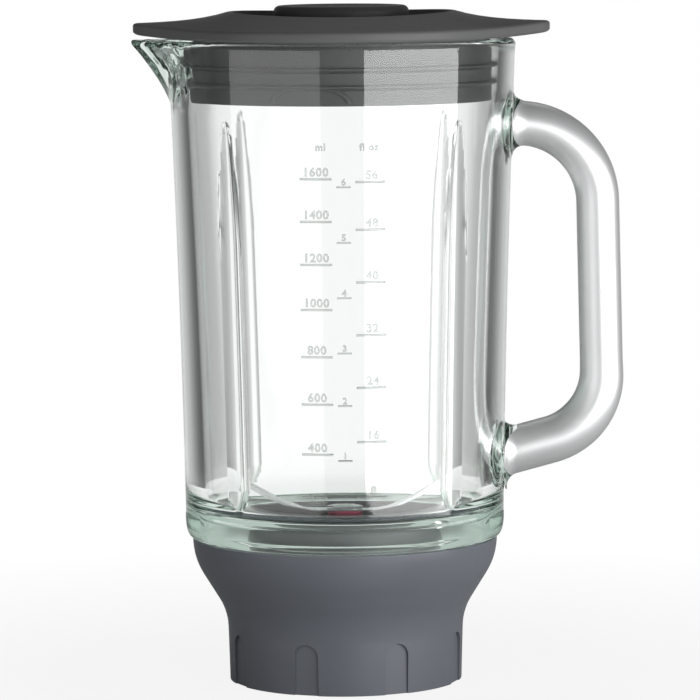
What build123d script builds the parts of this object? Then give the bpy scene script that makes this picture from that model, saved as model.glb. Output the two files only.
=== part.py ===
import os
from math import acos, cos, hypot, radians, sin, sqrt, tan
from build123d import *

os.makedirs("parts", exist_ok=True)

# A blender jar that screws into a base collar. The origin is on the jar's axis, at the bottom of
# the collar. +Z is up, the handle is on +X, the spout on -X and the front on -Y. Millimetres.

# Driving dimensions of the collar
foot_radius = 47.7
skirt_radius = 48.5
skirt_height = 28.2
collar_radius = 62.5
collar_height = 59.0
shoulder_drop = 8.2
neck_round = 25.0
collar_wall = 3.2
shelf_thickness = 3.6
socket_radius = 44.0
socket_depth = 12.0
stop_width = 3.0
stop_thickness = 2.5
arch_count = 8
arch_width = 10.3
arch_height = 20.8
arch_depth = 0.9
arch_turn = 25.4
bayonet_count = 3
bayonet_width = 12.0
bayonet_depth = 1.5
bayonet_height = 3.4
bayonet_level = 4.6
bayonet_sweep = 30.0

# Driving dimensions of the glass jar
joint_gap = 0.6
rim_height = 263.2
rim_radius = 70.9
belt_radius = 65.4
belt_rise = 9.4
foot_tuck = 2.9
wall_bow = 0.65
wall_top = 6.5
wall_bottom = 8.2
neck_radius = 52.0
neck_wall = 4.6
neck_length = 13.6
throat_radius = 40.0
ledge_rise = 2.6
floor_rise = 8.0
floor_slope = 4.8
floor_round = 6.0
throat_round = 2.0
rim_round = 2.4
rib_count = 4
rib_radius = 5.0
rib_depth = 4.2
rib_drop = 31.2
spout_reach = 85.0
spout_drop = 27.0
spout_tip = 5.0
spout_wall = 6.0
channel_drop = 16.0
handle_radius = 8.8
handle_reach = 103.6
handle_lean = 2.6
handle_drop = 35.2
handle_rise = 44.8
handle_arm_drop = 11.8
handle_arm_straight = 4.9
handle_root = 4.6

# Driving dimensions of the lid, its seal and the filler cap
lid_radius = 66.5
wing_reach = 84.9
wing_tip = 14.0
wing_lift = 2.0
lid_crown = 11.3
wing_fall = 4.7
shoulder_radius = 62.5
shoulder_fall = 3.3
dome_bulge = 0.5
lid_round = 2.6
lid_edge = 1.5
dish_radius = 45.5
dish_depth = 5.4
dish_flare = 2.0
lid_skin = 2.8
plug_depth = 23.0
plug_wall = 2.9
seal_thickness = 2.2
seal_hem = 1.7
upper_lip_level = 10.6
lower_lip_level = 17.5
lip_height = 2.4
lip_reach = 2.3
filler_radius = 22.0
filler_wall = 2.6
filler_depth = 19.0
cap_radius = 27.5
cap_thickness = 7.4
cap_round = 2.4
cap_hollow = 0.8
cap_wall = 2.2
cap_depth = 12.0
cap_skin = 2.4

# Driving dimensions of the blade unit
sealing_height = 3.4
flange_thickness = 3.0
flange_rim = 2.4
spigot_wall = 1.6
spigot_short = 0.6
well_depth = 20.8
well_round = 9.0
bowl_wall = 3.0
housing_radius = 9.2
housing_rise = 11.0
housing_drop = 14.0
housing_flange = 13.0
housing_flange_height = 2.6
boss_wall = 3.6
boss_rise = 5.0
boss_slope = 2.2
shaft_radius = 4.0
bush_wall = 2.5
bush_length = 8.5
seal_radius = 7.6
seal_height = 3.5
washer_radius = 7.5
washer_thickness = 1.2
blade_thickness = 1.6
blade_width = 15.0
blade_tip_width = 6.0
lower_blade_reach = 35.0
upper_blade_reach = 38.5
blade_bend_start = 13.0
lower_blade_angle = -10.0
upper_blade_angle = 31.0
blade_spacer_length = 12.0
blade_spacer_radius = 7.5
lock_washer_thickness = 1.0
nut_width = 13.0
nut_height = 3.2
nut_dome = 0.8
coupling_radius = 11.6
coupling_height = 9.4
coupling_teeth = 6
tooth_depth = 3.6
tooth_width = 3.8
screw_radius = 2.0
screw_head_radius = 4.0
screw_head_height = 3.0
screw_length = 9.0
coupling_web = 1.5

# Clearances
running_fit = 0.04
seal_fit = 0.08
end_play = 0.35
slip_fit = 0.05
loose_fit = 0.5
lip_fit = 0.15
neck_end_gap = 0.8
shaft_relief = 1.2


def on_arc(low, mid, high, z):
    """Radius, at height z, of the arc through three (radius, height) points."""
    (x1, y1), (x2, y2), (x3, y3) = low, mid, high
    d = 2 * (x1 * (y2 - y3) + x2 * (y3 - y1) + x3 * (y1 - y2))
    s1, s2, s3 = x1 * x1 + y1 * y1, x2 * x2 + y2 * y2, x3 * x3 + y3 * y3
    cx = (s1 * (y2 - y3) + s2 * (y3 - y1) + s3 * (y1 - y2)) / d
    cy = (s1 * (x3 - x2) + s2 * (x1 - x3) + s3 * (x2 - x1)) / d
    return cx - sqrt((x1 - cx) ** 2 + (y1 - cy) ** 2 - (z - cy) ** 2)


def beak(height, radius, reach, tip):
    """A level face: a circle drawn out along -X to a rounded tip."""
    centre = reach - tip
    turn = acos((radius - tip) / centre)
    big = (-radius * cos(turn), radius * sin(turn))
    small = (-centre - tip * cos(turn), tip * sin(turn))
    with BuildSketch(Plane.XY.offset(height)) as outline:
        with BuildLine():
            ThreePointArc(big, (radius, 0), (big[0], -big[1]))
            Line((big[0], -big[1]), (small[0], -small[1]))
            ThreePointArc((small[0], -small[1]), (-reach, 0), small)
            Line(small, big)
        make_face()
    return outline.sketch.face()


def bent_blade(z, reach, angle):
    """A flat strip at height z with both arms bent by angle from blade_bend_start outward."""
    run = reach - blade_bend_start
    rise = run * tan(radians(angle))
    lift = blade_thickness / cos(radians(angle))
    with BuildPart() as strip:
        with BuildSketch(Plane.XZ):
            with BuildLine():
                Polyline(
                    (-reach, z + rise),
                    (-blade_bend_start, z),
                    (blade_bend_start, z),
                    (reach, z + rise),
                    (reach, z + rise + lift),
                    (blade_bend_start, z + blade_thickness),
                    (-blade_bend_start, z + blade_thickness),
                    (-reach, z + rise + lift),
                    close=True,
                )
            make_face()
        extrude(amount=blade_width / 2, both=True)
        with BuildSketch(Plane.XY.offset(z - reach)):
            with BuildLine():
                Polyline(
                    (reach, blade_tip_width / 2),
                    (blade_bend_start, blade_width / 2),
                    (-blade_bend_start, blade_width / 2),
                    (-reach, -blade_width / 2 + blade_tip_width),
                    (-reach, -blade_width / 2),
                    (-blade_bend_start, -blade_width / 2),
                    (blade_bend_start, -blade_width / 2),
                    (reach, blade_width / 2 - blade_tip_width),
                    (reach, blade_width / 2),
                    close=False,
                )
                Line((reach, blade_width / 2), (reach, blade_tip_width / 2))
            make_face()
        extrude(amount=2 * reach, mode=Mode.INTERSECT)
        with Locations((0, 0, z)):
            Cylinder(
                shaft_radius + slip_fit,
                4 * blade_thickness,
                align=(Align.CENTER, Align.CENTER, Align.CENTER),
                mode=Mode.SUBTRACT,
            )
    return strip.part


# Heights and radii that follow from the dimensions above
jar_foot = collar_height + joint_gap
belt_height = jar_foot + belt_rise
ledge_height = jar_foot + ledge_rise
neck_end = jar_foot - neck_length
pocket_radius = neck_radius - neck_wall
floor_throat = jar_foot + floor_rise
floor_wall = floor_throat + floor_slope
outer_low = (belt_radius, belt_height)
outer_mid = ((belt_radius + rim_radius) / 2 - wall_bow, (belt_height + rim_height) / 2)
outer_high = (rim_radius, rim_height)
inner_low = (belt_radius - wall_bottom, belt_height)
inner_mid = (
    (belt_radius - wall_bottom + rim_radius - wall_top) / 2 - wall_bow,
    (belt_height + rim_height) / 2,
)
inner_high = (rim_radius - wall_top, rim_height)
rib_top = rim_height - rib_drop
handle_top = rim_height - handle_drop
handle_bottom = jar_foot + handle_rise


def outer_radius(z):
    return on_arc(outer_low, outer_mid, outer_high, z)


def inner_radius(z):
    return on_arc(inner_low, inner_mid, inner_high, z)


# Glass jar: body, spout and handle first, then the hollow, then the ribs
rib_low = floor_throat
rib_high = rib_top - rib_radius
rib_out = rib_radius - rib_depth
rib_start = Vector(inner_radius(belt_height) + rib_out, 0, rib_low)
rib_line = Vector(inner_radius(rib_high) + rib_out, 0, rib_high) - rib_start
with BuildPart() as rib:
    with BuildSketch(Plane(origin=rib_start, x_dir=(0, 1, 0), z_dir=(rib_line.Z, 0, -rib_line.X))):
        with BuildLine():
            Polyline((0, rib_line.length + rib_radius), (0, 0), (rib_radius, 0), (rib_radius, rib_line.length))
            ThreePointArc(
                (rib_radius, rib_line.length),
                (rib_radius / sqrt(2), rib_line.length + rib_radius / sqrt(2)),
                (0, rib_line.length + rib_radius),
            )
        make_face()
    revolve(axis=Axis(rib_start, rib_line))

with BuildPart() as jar:
    with BuildSketch(Plane.YZ):
        with BuildLine():
            Polyline(
                (0, rim_height),
                (0, neck_end),
                (neck_radius, neck_end),
                (neck_radius, jar_foot),
                (belt_radius - foot_tuck, jar_foot),
            )
            foot_bulge = foot_tuck * 0.28
            ThreePointArc(
                (belt_radius - foot_tuck, jar_foot),
                (belt_radius - foot_bulge, jar_foot + belt_rise * 0.48),
                outer_low,
            )
            ThreePointArc(outer_low, outer_mid, outer_high)
            Line(outer_high, (0, rim_height))
        make_face()
    revolve(axis=Axis.Z)

    spout_low = rim_height - spout_drop
    loft(
        [
            beak(spout_low, outer_radius(spout_low) - 0.4, outer_radius(spout_low) + 0.3, spout_tip),
            beak(rim_height, rim_radius - 0.4, spout_reach, spout_tip),
        ]
    )

    grip_low = handle_bottom - handle_arm_drop
    grip_bend = handle_reach - outer_radius(handle_top) - handle_arm_straight
    with BuildLine(Plane.XZ) as grip:
        FilletPolyline(
            (outer_radius(handle_top) - wall_top / 2, handle_top),
            (handle_reach, handle_top),
            (handle_reach + handle_lean, handle_bottom),
            (outer_radius(grip_low) - wall_top / 2, grip_low),
            radius=(grip_bend, grip_bend * 0.95),
        )
    with BuildSketch(Plane(origin=grip.line @ 0, z_dir=grip.line % 0)):
        Circle(handle_radius)
    sweep(path=grip.line)
    roots = [
        edge
        for edge in jar.edges()
        if edge.center().X > belt_radius * 0.9
        and edge.center().X < handle_reach * 0.8
        and edge.center().Z < rim_height - 1
        and edge.geom_type == GeomType.BSPLINE
    ]
    fillet(roots, handle_root)

    with BuildSketch(Plane.YZ):
        with BuildLine():
            Polyline(
                (0, rim_height),
                (0, neck_end),
                (pocket_radius, neck_end),
                (pocket_radius, ledge_height),
                (throat_radius, ledge_height),
                (throat_radius, floor_throat),
                (inner_radius(floor_wall), floor_wall),
            )
            ThreePointArc(
                (inner_radius(floor_wall), floor_wall),
                (inner_radius((floor_wall + rim_height) / 2), (floor_wall + rim_height) / 2),
                inner_high,
            )
            Line(inner_high, (0, rim_height))
        hollow = make_face()
        fillet(hollow.vertices().sort_by_distance((throat_radius, floor_throat))[0], throat_round)
        corner = (inner_radius(floor_wall), floor_wall)
        fillet(hollow.vertices().sort_by_distance(corner)[0], floor_round)
    revolve(axis=Axis.Z, mode=Mode.SUBTRACT)

    channel_low = rim_height - channel_drop
    loft(
        [
            beak(channel_low, inner_radius(channel_low) - 0.4, inner_radius(channel_low) + 0.3, spout_tip),
            beak(rim_height, inner_high[0] - 0.4, spout_reach - spout_wall, spout_tip),
        ],
        mode=Mode.SUBTRACT,
    )

    rim = jar.faces().sort_by(Axis.Z)[-1]
    fillet(rim.outer_wire().edges(), rim_round)

    with PolarLocations(0, rib_count, start_angle=45):
        add(rib.part)

jar.part.label = "glass_jar"
export_step(jar.part, "parts/glass_jar.step")

# Lid: a disc drawn out to two wings, dished on top, with a hollow plug below
lid_seat = rim_height
crown = lid_seat + lid_crown
dish_floor = crown - dish_depth
seal_outer = inner_radius(lid_seat - lower_lip_level) - lip_fit - lip_reach
plug_radius = seal_outer - seal_thickness
plug_inner = plug_radius - plug_wall
plug_end = lid_seat - plug_depth
filler_outer = filler_radius + filler_wall
under_crown = crown - wing_fall / 2 - lid_skin
under_dish = dish_floor - lid_skin

with BuildPart() as lid:
    with BuildSketch(Plane.YZ):
        with BuildLine():
            Polyline(
                (dish_radius, crown),
                (0, crown),
                (0, lid_seat),
                (lid_radius - lid_edge - loose_fit, lid_seat),
                (wing_reach + 1, lid_seat + wing_lift),
                (wing_reach + 1, crown - wing_fall),
                (shoulder_radius, crown - shoulder_fall),
            )
            ThreePointArc(
                (shoulder_radius, crown - shoulder_fall),
                ((shoulder_radius + dish_radius) / 2, crown - shoulder_fall / 2 + dome_bulge),
                (dish_radius, crown),
            )
        make_face()
    revolve(axis=Axis.Z)
    wing_centre = wing_reach - wing_tip
    wing_turn = acos((lid_radius - wing_tip) / wing_centre)
    root = (lid_radius * cos(wing_turn), lid_radius * sin(wing_turn))
    tip = (wing_centre + wing_tip * cos(wing_turn), wing_tip * sin(wing_turn))
    with BuildSketch(Plane.XY.offset(lid_seat)):
        with BuildLine():
            ThreePointArc(root, (0, lid_radius), (-root[0], root[1]))
            Line((-root[0], root[1]), (-tip[0], tip[1]))
            ThreePointArc((-tip[0], tip[1]), (-wing_reach, 0), (-tip[0], -tip[1]))
            Line((-tip[0], -tip[1]), (-root[0], -root[1]))
            ThreePointArc((-root[0], -root[1]), (0, -lid_radius), (root[0], -root[1]))
            Line((root[0], -root[1]), (tip[0], -tip[1]))
            ThreePointArc((tip[0], -tip[1]), (wing_reach, 0), tip)
            Line(tip, root)
        make_face()
    extrude(amount=lid_crown, mode=Mode.INTERSECT)
    around = [
        edge
        for edge in lid.edges()
        if hypot(edge.position_at(0.5).X, edge.position_at(0.5).Y) > lid_radius * 0.97
        and abs(edge.tangent_at(0.5).Z) < 0.5
    ]
    fillet([edge for edge in around if edge.position_at(0.5).Z > lid_seat + lid_crown / 2], lid_round)
    around = [
        edge
        for edge in lid.edges()
        if hypot(edge.position_at(0.5).X, edge.position_at(0.5).Y) > lid_radius * 0.97
        and edge.position_at(0.5).Z < lid_seat + wing_lift + 0.1
        and abs(edge.tangent_at(0.5).Z) < 0.5
    ]
    fillet(around, lid_edge)
    with BuildSketch(Plane.YZ):
        with BuildLine():
            Polyline(
                (0, crown + 1),
                (dish_radius, crown + 1),
                (dish_radius, crown),
                (dish_radius - dish_flare, dish_floor),
                (0, dish_floor),
                close=True,
            )
        make_face()
    revolve(axis=Axis.Z, mode=Mode.SUBTRACT)
    with BuildSketch(Plane.YZ):
        with BuildLine():
            Polyline(
                (plug_inner, lid_seat + lid_skin / 2),
                (plug_inner, plug_end),
                (plug_radius, plug_end),
                (plug_radius, lid_seat + lid_skin / 2),
                close=True,
            )
        make_face()
        with BuildLine():
            Polyline(
                (filler_radius, dish_floor),
                (filler_radius, dish_floor - filler_depth),
                (filler_outer, dish_floor - filler_depth),
                (filler_outer, dish_floor),
                close=True,
            )
        make_face()
    revolve(axis=Axis.Z)
    with BuildSketch(Plane.YZ):
        with BuildLine():
            Polyline(
                (filler_outer, plug_end),
                (plug_inner, plug_end),
                (plug_inner, under_crown),
                (dish_radius + lid_skin, under_crown),
                (dish_radius - dish_flare + lid_skin, under_dish),
                (filler_outer, under_dish),
                close=True,
            )
        make_face()
        with BuildLine():
            Polyline((0, plug_end), (filler_radius, plug_end), (filler_radius, crown), (0, crown), close=True)
        make_face()
    revolve(axis=Axis.Z, mode=Mode.SUBTRACT)
lid.part.label = "lid"
export_step(lid.part, "parts/lid.step")

# Lid seal: a sleeve over the plug, hemmed below it, with two lips that meet the glass
sleeve_top = lid_seat - lip_height / 2
with BuildPart() as lid_seal:
    with BuildSketch(Plane.YZ):
        with BuildLine():
            Polyline(
                (plug_radius + slip_fit, sleeve_top),
                (plug_radius + slip_fit, plug_end - slip_fit),
                (plug_inner, plug_end - slip_fit),
                (plug_inner, plug_end - seal_hem),
                (seal_outer, plug_end - seal_hem),
                (seal_outer, sleeve_top),
                close=True,
            )
        make_face()
        for level in (lid_seat - upper_lip_level, lid_seat - lower_lip_level):
            with BuildLine():
                Polyline(
                    (seal_outer, level - lip_height / 2),
                    (inner_radius(level) - lip_fit, level),
                    (inner_radius(level) - lip_fit, level + lip_height / 4),
                    (seal_outer, level + lip_height / 2),
                    (plug_radius + seal_thickness / 2, level),
                    close=True,
                )
            make_face()
    revolve(axis=Axis.Z)
lid_seal.part.label = "lid_seal"
export_step(lid_seal.part, "parts/lid_seal.step")

# Filler cap: a round knob with a hollow skirt that stands in the filler opening
cap_top = dish_floor + cap_thickness
cap_skirt = filler_radius - loose_fit
cap_low = dish_floor - cap_depth
with BuildPart() as filler_cap:
    with BuildSketch(Plane.YZ):
        with BuildLine():
            ThreePointArc(
                (0, cap_top - cap_hollow),
                ((cap_radius - cap_round) / 2, cap_top - cap_hollow * 0.75),
                (cap_radius - cap_round, cap_top),
            )
            RadiusArc((cap_radius - cap_round, cap_top), (cap_radius, cap_top - cap_round), cap_round)
            Polyline(
                (cap_radius, cap_top - cap_round),
                (cap_radius, dish_floor),
                (cap_skirt, dish_floor),
                (cap_skirt, cap_low),
                (cap_skirt - cap_wall, cap_low),
                (cap_skirt - cap_wall, cap_top - cap_hollow - cap_skin),
                (0, cap_top - cap_hollow - cap_skin),
                (0, cap_top - cap_hollow),
            )
        make_face()
    revolve(axis=Axis.Z)
filler_cap.part.label = "filler_cap"
export_step(filler_cap.part, "parts/filler_cap.step")

# Levels of the blade unit, from the jar's ledge down and from the hub's top up
flange_top = ledge_height - sealing_height
flange_low = flange_top - flange_thickness
flange_radius = pocket_radius - loose_fit
spigot_radius = throat_radius - loose_fit
well_radius = spigot_radius - spigot_wall
spigot_top = floor_throat - spigot_short
rim_bore = flange_radius - flange_rim
rim_top = ledge_height - loose_fit
bowl_outer = well_radius + bowl_wall
well_floor = flange_top - well_depth
hub_top = well_floor + housing_rise
hub_low = well_floor - housing_drop
boss_bore = housing_radius + slip_fit
boss_radius = boss_bore + boss_wall
boss_low = well_floor - bowl_wall
bush_radius = shaft_radius + running_fit + bush_wall
seal_low = hub_top - seal_height
upper_washer_low = hub_top + end_play
lower_blade_low = upper_washer_low + washer_thickness
spacer_low = lower_blade_low + blade_thickness
upper_blade_low = spacer_low + blade_spacer_length
lock_washer_low = upper_blade_low + blade_thickness
nut_low = lock_washer_low + lock_washer_thickness
shaft_top = nut_low + nut_height * 0.8
coupling_top = hub_low - end_play - washer_thickness
coupling_low = coupling_top - coupling_height
screw_seat = coupling_low + screw_head_height + loose_fit
shaft_low = screw_seat + coupling_web

# Base collar: bowl and skirt, with a groove for the jar's neck and a socket for the machine
thread_bore = neck_radius + loose_fit
groove_floor = neck_end - neck_end_gap
upstand_bore = bowl_outer + loose_fit
shelf_low = groove_floor - shelf_thickness
shoulder_height = collar_height - shoulder_drop
bowl_slope = (collar_radius - skirt_radius) / (shoulder_height - skirt_height)
shoulder_turn = acos(1 / sqrt(1 + bowl_slope**2)) / 2
shoulder_round = 0.95 * shoulder_drop / tan(shoulder_turn)
shelf_edge = skirt_radius + bowl_slope * (shelf_low - skirt_height) - collar_wall * 1.15
skirt_inner = skirt_radius - collar_wall
stop_radius = socket_radius - stop_width
stop_top = socket_depth + stop_thickness

with BuildPart() as arch:
    with BuildSketch(Plane.XZ.offset(foot_radius - arch_depth)):
        spring = arch_height - arch_width / 2
        with Locations((0, spring / 2)):
            Rectangle(arch_width, spring)
        with Locations((0, spring)):
            Circle(arch_width / 2)
    extrude(amount=arch_depth + skirt_radius - foot_radius + 1)

with BuildPart() as bayonet:
    with BuildSketch(Plane.XZ):
        with Locations((socket_radius + bayonet_depth / 2 - 0.5, bayonet_level + bayonet_height / 2)):
            Rectangle(bayonet_depth + 1, bayonet_height)
    revolve(axis=Axis.Z, revolution_arc=bayonet_sweep)
    entry_top = bayonet_level + bayonet_height
    with Locations((socket_radius + bayonet_depth / 2 - 0.5, 0, entry_top / 2)):
        Box(bayonet_depth + 1, bayonet_width, entry_top)

with BuildPart() as collar:
    with BuildSketch(Plane.YZ):
        with BuildLine():
            FilletPolyline(
                (foot_radius, 0),
                (skirt_radius, skirt_height),
                (collar_radius, shoulder_height),
                (collar_radius, collar_height),
                radius=(neck_round, shoulder_round),
            )
            Polyline(
                (collar_radius, collar_height),
                (thread_bore, collar_height),
                (thread_bore, groove_floor),
                (flange_radius, groove_floor),
                (flange_radius, flange_low),
                (upstand_bore, flange_low),
                (upstand_bore, shelf_low),
                (shelf_edge, shelf_low),
                (skirt_inner, skirt_height),
                (skirt_inner, stop_top),
                (stop_radius, stop_top),
                (stop_radius, socket_depth),
                (socket_radius, socket_depth),
                (socket_radius, 0),
                (foot_radius, 0),
            )
        make_face()
    revolve(axis=Axis.Z)
    with PolarLocations(0, arch_count, start_angle=arch_turn):
        add(arch.part, mode=Mode.SUBTRACT)
    with PolarLocations(0, bayonet_count):
        add(bayonet.part, mode=Mode.SUBTRACT)
collar.part.label = "base_collar"
export_step(collar.part, "parts/base_collar.step")

# Sealing ring between the jar's ledge and the carrier's flange, from the spigot to the flange's rim
with BuildPart() as sealing_ring:
    with BuildSketch(Plane.YZ):
        ring_outer = rim_bore - slip_fit
        ring_inner = spigot_radius + slip_fit
        with Locations(((ring_inner + ring_outer) / 2, flange_top + sealing_height / 2)):
            Rectangle(ring_outer - ring_inner, sealing_height)
    revolve(axis=Axis.Z)
sealing_ring.part.label = "sealing_ring"
export_step(sealing_ring.part, "parts/sealing_ring.step")

# Blade carrier: a bowl on a flange, with a spigot that centres it in the jar's throat
# and a boss in its floor that grips the bearing housing
with BuildPart() as carrier:
    with BuildSketch(Plane.YZ):
        with BuildLine():
            FilletPolyline(
                (boss_radius + boss_slope, well_floor),
                (well_radius, well_floor),
                (well_radius, spigot_top),
                radius=well_round,
            )
            Polyline(
                (well_radius, spigot_top),
                (spigot_radius, spigot_top),
                (spigot_radius, flange_top),
                (rim_bore, flange_top),
                (rim_bore, rim_top),
                (flange_radius, rim_top),
                (flange_radius, flange_low),
                (bowl_outer, flange_low),
            )
            FilletPolyline(
                (bowl_outer, flange_low),
                (bowl_outer, boss_low),
                (boss_bore, boss_low),
                radius=well_round + bowl_wall,
            )
            Polyline(
                (boss_bore, boss_low),
                (boss_bore, well_floor + boss_rise),
                (boss_radius, well_floor + boss_rise),
                (boss_radius + boss_slope, well_floor),
            )
        make_face()
    revolve(axis=Axis.Z)
carrier.part.label = "blade_carrier"
export_step(carrier.part, "parts/blade_carrier.step")

# Bearing housing: a turned tube, flanged under the carrier, bored for two bushes and a seal
with BuildPart() as housing:
    with BuildSketch(Plane.YZ):
        with BuildLine():
            Polyline(
                (bush_radius, hub_low),
                (bush_radius, hub_low + bush_length),
                (shaft_radius + shaft_relief, hub_low + bush_length),
                (shaft_radius + shaft_relief, seal_low - bush_length),
                (bush_radius, seal_low - bush_length),
                (bush_radius, seal_low),
                (seal_radius, seal_low),
                (seal_radius, hub_top),
                (housing_radius, hub_top),
                (housing_radius, boss_low),
                (housing_flange, boss_low),
                (housing_flange, boss_low - housing_flange_height),
                (housing_radius, boss_low - housing_flange_height),
                (housing_radius, hub_low),
                close=True,
            )
        make_face()
    revolve(axis=Axis.Z)
housing.part.label = "bearing_housing"
export_step(housing.part, "parts/bearing_housing.step")


def ring(name, inner, outer, low, height):
    """A plain ring about the shaft's axis, written out under its name."""
    with BuildPart() as piece:
        with BuildSketch(Plane.XY.offset(low)):
            Circle(outer)
            Circle(inner, mode=Mode.SUBTRACT)
        extrude(amount=height)
    piece.part.label = name
    export_step(piece.part, "parts/" + name + ".step")


bush_bore = shaft_radius + running_fit
rotor_bore = shaft_radius + slip_fit
ring("upper_bush", bush_bore, bush_radius - slip_fit, seal_low - bush_length, bush_length)
ring("lower_bush", bush_bore, bush_radius - slip_fit, hub_low, bush_length)
ring("shaft_seal", shaft_radius + seal_fit, seal_radius - slip_fit, seal_low, seal_height)
ring("upper_thrust_washer", rotor_bore, washer_radius, upper_washer_low, washer_thickness)
ring("lower_thrust_washer", rotor_bore, washer_radius, coupling_top, washer_thickness)
ring("blade_spacer", rotor_bore, blade_spacer_radius, spacer_low, blade_spacer_length)
ring("lock_washer", rotor_bore, washer_radius, lock_washer_low, lock_washer_thickness)

# Shaft, drilled from below for the coupling's screw
with BuildPart() as shaft:
    with BuildSketch(Plane.XY.offset(shaft_low)):
        Circle(shaft_radius)
    extrude(amount=shaft_top - shaft_low)
    with BuildSketch(Plane.XY.offset(shaft_low)):
        Circle(screw_radius)
    extrude(amount=screw_length, mode=Mode.SUBTRACT)
shaft.part.label = "blade_shaft"
export_step(shaft.part, "parts/blade_shaft.step")

# The two blades, one across the other
lower_blade = bent_blade(lower_blade_low, lower_blade_reach, lower_blade_angle).rotate(Axis.Z, 90)
lower_blade.label = "lower_blade"
export_step(lower_blade, "parts/lower_blade.step")
upper_blade = bent_blade(upper_blade_low, upper_blade_reach, upper_blade_angle)
upper_blade.label = "upper_blade"
export_step(upper_blade, "parts/upper_blade.step")

# Cap nut
with BuildPart() as nut:
    with BuildSketch(Plane.XY.offset(nut_low)):
        RegularPolygon(nut_width / 2, 6, major_radius=False)
    extrude(amount=nut_height)
    with BuildSketch(Plane.XZ):
        with BuildLine():
            dome_radius = nut_width / 2 * 0.82
            ThreePointArc(
                (0, nut_low + nut_height + nut_dome),
                (dome_radius * 0.7, nut_low + nut_height + nut_dome * 0.6),
                (dome_radius, nut_low + nut_height),
            )
            Polyline((dome_radius, nut_low + nut_height), (0, nut_low + nut_height))
            Line((0, nut_low + nut_height), (0, nut_low + nut_height + nut_dome))
        make_face()
    revolve(axis=Axis.Z)
    with BuildSketch(Plane.XY.offset(nut_low)):
        Circle(rotor_bore)
    extrude(amount=shaft_top - nut_low + slip_fit, mode=Mode.SUBTRACT)
nut.part.label = "blade_nut"
export_step(nut.part, "parts/blade_nut.step")

# Drive coupling with teeth below, and the screw that holds it up against the shaft
with BuildPart() as coupling:
    with BuildSketch(Plane.XY.offset(coupling_low)):
        Circle(coupling_radius)
    extrude(amount=coupling_height)
    with BuildSketch(Plane.XY.offset(coupling_low)):
        Circle(screw_head_radius + loose_fit)
    extrude(amount=screw_seat - coupling_low, mode=Mode.SUBTRACT)
    with BuildSketch(Plane.XY.offset(screw_seat)):
        Circle(screw_radius + slip_fit)
    extrude(amount=coupling_web, mode=Mode.SUBTRACT)
    with BuildSketch(Plane.XY.offset(shaft_low)):
        Circle(rotor_bore)
    extrude(amount=coupling_top - shaft_low, mode=Mode.SUBTRACT)
    with BuildSketch(Plane.XY.offset(coupling_low)):
        with PolarLocations(coupling_radius, coupling_teeth):
            Rectangle(2 * (coupling_radius - screw_head_radius - bush_wall), tooth_width)
    extrude(amount=tooth_depth, mode=Mode.SUBTRACT)
coupling.part.label = "drive_coupling"
export_step(coupling.part, "parts/drive_coupling.step")

with BuildPart() as screw:
    with BuildSketch(Plane.XY.offset(screw_seat - screw_head_height)):
        Circle(screw_head_radius)
        RegularPolygon(screw_radius, 6, mode=Mode.SUBTRACT)
    extrude(amount=screw_head_height)
    with BuildSketch(Plane.XY.offset(screw_seat - screw_head_height / 2)):
        Circle(screw_radius - slip_fit)
    extrude(amount=screw_head_height / 2 + coupling_web + screw_length - loose_fit)
screw.part.label = "coupling_screw"
export_step(screw.part, "parts/coupling_screw.step")
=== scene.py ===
# %% [markdown]
# # A glass blender jar
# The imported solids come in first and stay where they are: they are the frame that every piece is
# hung on. What this file adds is the look: smooth thick glass in place of the faceted solid, the
# raised measuring scale, moulded plastic, ground steel, and the white studio of the photograph.
#
# Thick glass sends a ray to and fro many times before it comes out. A ray that runs out of bounces
# ends in black, which shows as black bands at the spout. So the limits are raised here.

# %% Load the frame
from math import acos, atan2, cos, exp, hypot, pi, radians, sin, sqrt, tan

import bmesh
import bpy
from mathutils import Matrix, Vector


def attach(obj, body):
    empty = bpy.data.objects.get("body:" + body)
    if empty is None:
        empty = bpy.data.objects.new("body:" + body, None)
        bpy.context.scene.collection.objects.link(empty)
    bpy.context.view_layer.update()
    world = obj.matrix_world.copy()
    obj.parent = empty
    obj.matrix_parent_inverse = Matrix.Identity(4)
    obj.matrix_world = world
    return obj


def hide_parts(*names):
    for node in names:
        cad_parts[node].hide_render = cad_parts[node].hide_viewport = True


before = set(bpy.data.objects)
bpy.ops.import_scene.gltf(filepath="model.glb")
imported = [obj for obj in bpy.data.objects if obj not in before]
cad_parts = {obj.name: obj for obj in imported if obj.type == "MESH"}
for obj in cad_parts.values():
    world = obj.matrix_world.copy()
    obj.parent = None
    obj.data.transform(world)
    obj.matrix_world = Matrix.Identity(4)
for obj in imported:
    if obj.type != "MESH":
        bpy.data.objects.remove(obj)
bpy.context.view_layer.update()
scene = bpy.context.scene
scene.view_settings.view_transform = "Standard"
scene.cycles.max_bounces = 20
scene.cycles.transmission_bounces = 16
scene.cycles.glossy_bounces = 11
mm = 0.001

# %% [markdown]
# ## The camera
# The photograph was taken with a long lens from a little above the lid: the lid is almost edge on,
# while the foot shows as an open ellipse. A camera 1.85 m away and 0.33 m up gives both. A long
# lens keeps the two sides of the jar parallel. The small roll repeats the lean of the photograph.

# %% Camera
PICTURE = 700  # pixels
PIXEL = 0.41 * mm  # size of a pixel at the jar's axis
AXIS_PIXEL = (343.6, 341.3)  # where the aim falls in the photograph
SENSOR = 36.0
EYE = Vector((0, -1850 * mm, 329 * mm))
AIM = Vector((0, 0, 139 * mm))
ROLL = radians(0.42)

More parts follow.
